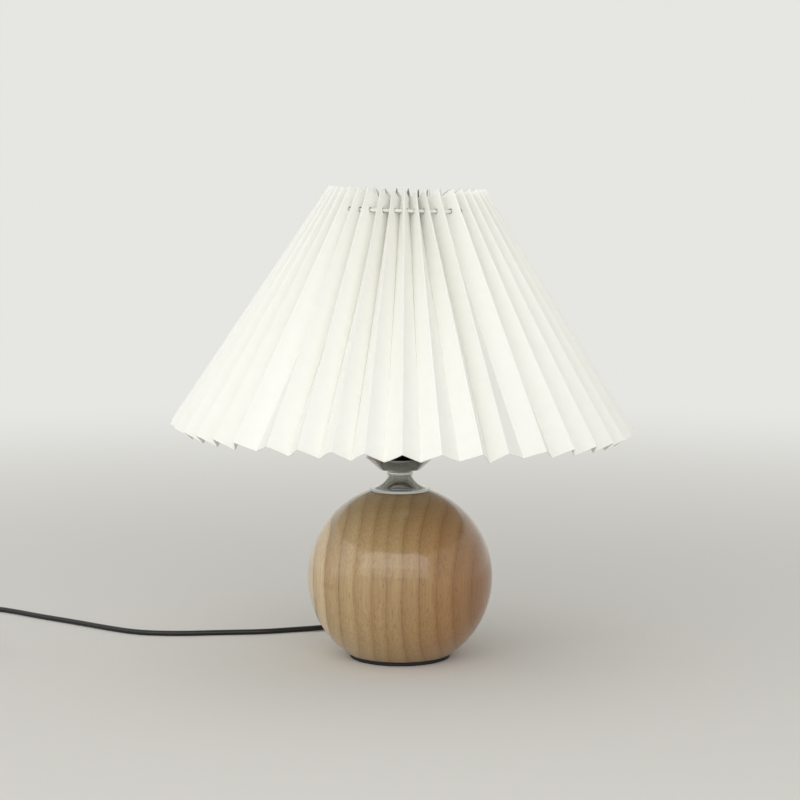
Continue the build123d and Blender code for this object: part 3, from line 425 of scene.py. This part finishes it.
# Outer folds that the photo shows, in degrees from the front, at the bottom and at the top. The rest are
# spaced round the back as if by hand, up to 0.8 degrees off their even places.
front_folds = np.array([
    (-73.0, -77.0), (-65.0, -69.5), (-57.4, -62.0), (-49.9, -54.5), (-42.3, -46.7), (-32.5, -37.7),
    (-24.3, -29.7), (-16.1, -19.2), (-8.4, -10.8), (0.0, -1.8), (8.9, 6.3), (18.4, 12.5), (24.8, 22.7),
    (35.0, 34.6), (43.7, 42.6), (52.1, 51.0), (60.5, 59.8), (67.9, 67.5), (76.0, 76.0),
])
back_slack = 0.8
back_share = np.linspace(0, 1, pleats - len(front_folds) + 2)[1:-1, None]
back_folds = front_folds[-1] * (1 - back_share) + (front_folds[0] + 360.0) * back_share
back_folds += hand.uniform(-back_slack, back_slack, back_folds.shape)
outer_low, outer_high = np.radians(np.concatenate([front_folds, back_folds])).T


def between(angles):
    """Angles half-way from each fold to the next, and half the angle between the two."""
    step = np.diff(np.append(angles, angles[0] + 2 * math.pi))
    return angles + step / 2, step / 2


def inner_fold(outer_r, half):
    """Radius of the inner fold one panel's width from two outer folds, and how much lower its end hangs.

    The strip is cut square to folds of slope s, so (1 + s^2) (outer - inner cos half)^2 + (inner sin half)^2
    is the panel's width squared."""
    stretch = 1 + fold_slope**2
    square = stretch * np.cos(half) ** 2 + np.sin(half) ** 2
    linear_half = stretch * outer_r * np.cos(half)
    radius = (linear_half - np.sqrt(linear_half**2 - square * (stretch * outer_r**2 - panel_w**2))) / square
    return radius, fold_slope * (outer_r - radius * np.cos(half))


def on_circle(angle, radius, z):
    """Points at angles from the front, on circles round the stem: radius times (sine, -cosine), and z."""
    return np.stack([radius * np.sin(angle), -radius * np.cos(angle), z + 0 * angle], axis=-1)


inner_low, half_low = between(outer_low)
inner_high, half_high = between(outer_high)
inner_top_r, inner_drop = inner_fold(outer_top_r, half_high)
inner_bottom_r, inner_hang = inner_fold(outer_bottom_r, half_low)
fold_top = np.empty((panels, 3))
fold_low = np.empty((panels, 3))
fold_top[0::2] = on_circle(outer_high, outer_top_r, shade_top_z)
fold_top[1::2] = on_circle(inner_high, inner_top_r, shade_top_z - inner_drop)
fold_low[0::2] = on_circle(outer_low, outer_bottom_r, shade_bottom_z)
fold_low[1::2] = on_circle(inner_low, inner_bottom_r, shade_bottom_z - inner_hang)

# One flat panel: across runs 0 to 1 from fold to fold, down runs 0 to 1 from top to bottom. A square of
# four by four faces round the punched hole is taken out, and a ring of sixteen faces joins it to the hole.
hole_middle = np.array((0.5, 0.0671))
panel_size = np.array((panel_w, panel_l))
patch_half = 3.0
patch_lines = np.linspace(-1, 1, 5)[:, None] * patch_half / panel_size + hole_middle
across = np.concatenate([[0, 0.05, 0.15], patch_lines[:, 0], [0.85, 0.95, 1]])
down = np.concatenate([[0, 0.02, 0.04], patch_lines[:, 1], np.linspace(0.12, 0.95, 14), [0.98, 1]])
grid_down, grid_across = np.meshgrid(down, across, indexing="ij")
panel = np.stack([grid_across.ravel(), grid_down.ravel()], axis=-1)
cells = grid_quads(down.size, across.size)
patch_start, patch_end = 3, 7
there, back = range(patch_start, patch_end), range(patch_end, patch_start, -1)
keep = np.ones(cells.shape[:2], dtype=bool)
keep[patch_start:patch_end, patch_start:patch_end] = False
edge = [(patch_start, c) for c in there] + [(r, patch_end) for r in there]
edge += [(patch_end, c) for c in back] + [(r, patch_start) for r in back]
edge_index = np.array([r * across.size + c for r, c in edge])
outwards = (panel[edge_index] - hole_middle) * panel_size
outwards /= np.linalg.norm(outwards, axis=1, keepdims=True)
rim = hole_middle + outwards * hole_r / panel_size
rim_index = len(panel) + np.arange(len(rim))
rim_faces = np.stack([edge_index, np.roll(edge_index, -1), np.roll(rim_index, -1), rim_index], axis=-1)
panel = np.concatenate([panel, rim])
panel_faces = np.concatenate([cells[keep], rim_faces])

# Each panel is ruled from one fold line to the next. It bows by a sine from fold to fold, as hand-folded
# paper does: up to 0.5 mm, and up to 0.4 mm more or less at the bottom. The bow starts from none at the top
# edge and is whole a quarter of the way down.
bow_along, bow_low, bow_whole = 0.5, 0.4, 0.25
s, t = panel[None, :, 0, None], panel[None, :, 1, None]
next_top = np.roll(fold_top, -1, axis=0)
next_low = np.roll(fold_low, -1, axis=0)
this_fold = fold_top[:, None] * (1 - t) + fold_low[:, None] * t
next_fold = next_top[:, None] * (1 - t) + next_low[:, None] * t
sheet_points = this_fold * (1 - s) + next_fold * s
facing = np.cross(next_low - fold_low, fold_top - fold_low)
facing /= np.linalg.norm(facing, axis=1, keepdims=True)
even_bow = hand.uniform(-bow_along, bow_along, (panels, 1, 1))
bow = even_bow + hand.uniform(-bow_low, bow_low, (panels, 1, 1)) * t
sheet_points += facing[:, None] * bow * np.sin(math.pi * s) * np.minimum(1, t / bow_whole)
sheet_faces = panel_faces[None] + (np.arange(panels) * len(panel))[:, None, None]
sheet_mesh = mesh_of("pleated_sheet", leaned(sheet_points) * mm, sheet_faces)
joined = bmesh.new()
joined.from_mesh(sheet_mesh)
bmesh.ops.remove_doubles(joined, verts=joined.verts, dist=0.02 * mm)
bmesh.ops.recalc_face_normals(joined, faces=joined.faces)
joined.to_mesh(sheet_mesh)
joined.free()
sheet_mesh.polygons.foreach_set("use_smooth", np.zeros(len(sheet_mesh.polygons), dtype=bool))
shade = new_piece("pleated_sheet", sheet_mesh, paper, "shade")
thickening = shade.modifiers.new("sheet", "SOLIDIFY")
thickening.thickness = sheet_t * mm
thickening.offset = 0.0
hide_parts("pleated_shade")


def tube(path, radius, upright, sides, closed=False):
    """Points round a path: each cross-section is a circle square to the path.

    A point is the path's point plus the radius times (cosine times the side way, plus sine times the upward
    way), where the side way is square to the path and to the upright way."""
    if closed:
        along = np.roll(path, -1, axis=0) - np.roll(path, 1, axis=0)
    else:
        along = np.gradient(path, axis=0)
    along /= np.linalg.norm(along, axis=1, keepdims=True)
    side = np.cross(along, upright)
    side /= np.linalg.norm(side, axis=1, keepdims=True)
    up = np.cross(side, along)
    angle = np.linspace(0, 2 * math.pi, sides, endpoint=False)[None, :, None]
    return path[:, None] + radius * (np.cos(angle) * side[:, None] + np.sin(angle) * up[:, None])


ring_steps, wire_sides = 144, 12
ring_angle = np.linspace(0, 2 * math.pi, ring_steps, endpoint=False)
ring_points = tube(leaned(on_circle(ring_angle, ring_r, ring_z)), wire_r, (0, 0, 1), wire_sides, closed=True)
ring_mesh = mesh_of("shade_ring_wire", ring_points * mm, grid_quads(ring_steps, wire_sides, True, True))
ring = new_piece("shade_ring_wire", ring_mesh, lacquer, "shade")
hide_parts("gather_ring")

# Carrier: three bent wires from the collar to the ring, each in the groove of an outer fold. Their corners
# are pairs of radius and height.
legs = 3
leg_foot_r, leg_foot_z = 26.5, 148.14
leg_corners = np.array([
    (leg_foot_r, leg_foot_z), (leg_foot_r, 168.14), (38.5, 205.14), (40.5, ring_z), (ring_r - wire_r, ring_z),
])
leg_bends = (8.0, 20.0, 4.0)


def bent_wire(corners, bends, steps=8):
    """A flat wire line with a round bend of the given radius at each inner corner.

    The bend's middle lies on the corner's bisector, at the radius over the sine of half the corner's angle.
    Seen from there, a point is the sum of the two touching points, each times the sine of the angle left to
    the other, over the sine of the whole sweep."""
    line = [corners[:1]]
    share = np.linspace(0, 1, steps)[:, None]
    for before, corner, after, bend in zip(corners, corners[1:], corners[2:], bends):
        back = (before - corner) / np.linalg.norm(before - corner)
        on = (after - corner) / np.linalg.norm(after - corner)
        half = math.acos(np.clip(back @ on, -1, 1)) / 2
        middle = corner + (back + on) / np.linalg.norm(back + on) * bend / math.sin(half)
        start = corner + back * bend / math.tan(half) - middle
        end = corner + on * bend / math.tan(half) - middle
        sweep = math.pi - 2 * half
        arc = start * np.sin((1 - share) * sweep) + end * np.sin(share * sweep)
        line.append(middle + arc / math.sin(sweep))
    return np.concatenate([*line, corners[-1:]])


leg_line = bent_wire(leg_corners, leg_bends)
leg_grip = np.clip((leg_line[:, 1] - leg_foot_z) / (ring_z - leg_foot_z), 0, 1)
leg_quads = grid_quads(len(leg_line), wire_sides, close_columns=True).reshape(-1, 4)
ring_share = (shade_top_z - ring_z) / (shade_top_z - shade_bottom_z)
groove = outer_high * (1 - ring_share) + outer_low * ring_share
leg_points, leg_faces = [], []
for leg in range(legs):
    angle = groove[np.argmin(np.abs(groove - leg * 2 * math.pi / legs))]
    path = leaned(on_circle(angle + 0 * leg_line[:, 0], leg_line[:, 0], leg_line[:, 1]), leg_grip)
    leg_points.append(tube(path, wire_r, (math.cos(angle), math.sin(angle), 0), wire_sides).reshape(-1, 3))
    leg_faces.append(leg_quads + leg * len(leg_line) * wire_sides)
legs_mesh = mesh_of("carrier_wires", np.concatenate(leg_points) * mm, np.concatenate(leg_faces))
carrier = new_piece("carrier_wires", legs_mesh, lacquer, "shade")
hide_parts("carrier_legs")

# Floor and light, in metres: far from the lamp the floor takes the backdrop's colour for the eye, so that no
# edge shows
backdrop = linear("#E6E6E2")
floor_half = 15.0
fade_start, fade_end = 0.30, 1.60


def seen_by_eye(tree):
    """1 for rays from the camera and for those that metal or glass sends on, 0 for the rest."""
    ray = add(tree, "LightPath")
    direct = add(tree, "Math", {"operation": "MAXIMUM"}, links={
        0: ray.outputs["Is Camera Ray"], 1: ray.outputs["Is Glossy Ray"]})
    return add(tree, "Math", {"operation": "MAXIMUM"}, links={
        0: direct.outputs[0], 1: ray.outputs["Is Transmission Ray"]})


floor_corners = np.array([(-1, -1, 0), (1, -1, 0), (1, 1, 0), (-1, 1, 0)]) * floor_half
floor_mesh = mesh_of("floor", floor_corners, np.arange(4))
floor = put("floor", floor_mesh)
floor_paint = bpy.data.materials.new("pale_floor")
floor_tree = bare_tree(floor_paint)
matt = add(floor_tree, "BsdfDiffuse", values={"Color": linear("#E2E0DB")})
far_glow = add(floor_tree, "Emission", values={"Color": backdrop, "Strength": 1.0})
floor_place = add(floor_tree, "TexCoord").outputs["Object"]
reach = add(floor_tree, "VectorMath", {"operation": "LENGTH"}, links={0: floor_place})
fade = add(floor_tree, "MapRange", {"interpolation_type": "SMOOTHSTEP"},
           {"From Min": fade_start, "From Max": fade_end}, {"Value": reach.outputs["Value"]})
glow_share = add(floor_tree, "Math", {"operation": "MULTIPLY"}, links={
    0: fade.outputs["Result"], 1: seen_by_eye(floor_tree).outputs[0]})
floor_look = add(floor_tree, "MixShader", links={
    0: glow_share.outputs[0], 1: matt.outputs[0], 2: far_glow.outputs[0]})
add(floor_tree, "OutputMaterial", links={"Surface": floor_look.outputs[0]})
floor_mesh.materials.append(floor_paint)

world = bpy.data.worlds.new("studio")
bpy.context.scene.world = world
world_tree = bare_tree(world)
room = add(world_tree, "Background", values={"Color": linear("#F4F4F2"), "Strength": 0.70})
seen_wall = add(world_tree, "Background", values={"Color": backdrop, "Strength": 1.0})
world_look = add(world_tree, "MixShader", links={
    0: seen_by_eye(world_tree).outputs[0], 1: room.outputs[0], 2: seen_wall.outputs[0]})
add(world_tree, "OutputWorld", links={"Surface": world_look.outputs[0]})

lit_point = np.array((0.0, 0.0, 0.2))


def soft_box(name, place, width, height, watts):
    """A lamp at a place, turned to face the lit point: tipped by the angle of its way from straight down."""
    data = bpy.data.lights.new(name, "AREA")
    data.shape = "RECTANGLE"
    data.size, data.size_y = width, height
    data.energy = watts
    lamp = put(name, data)
    way = lit_point - place
    tip = math.acos(-way[2] / np.linalg.norm(way))
    lamp.location = place
    lamp.rotation_euler = (tip, 0.0, math.atan2(way[1], way[0]) - math.pi / 2)


soft_box("window", (-0.30, -2.00, 1.28), 4.2, 0.85, 18)
soft_box("window_sill", (-0.30, -2.00, 0.62), 4.2, 0.50, 6)
soft_box("side_window", (-2.4, -0.5, 0.9), 1.5, 1.5, 5)
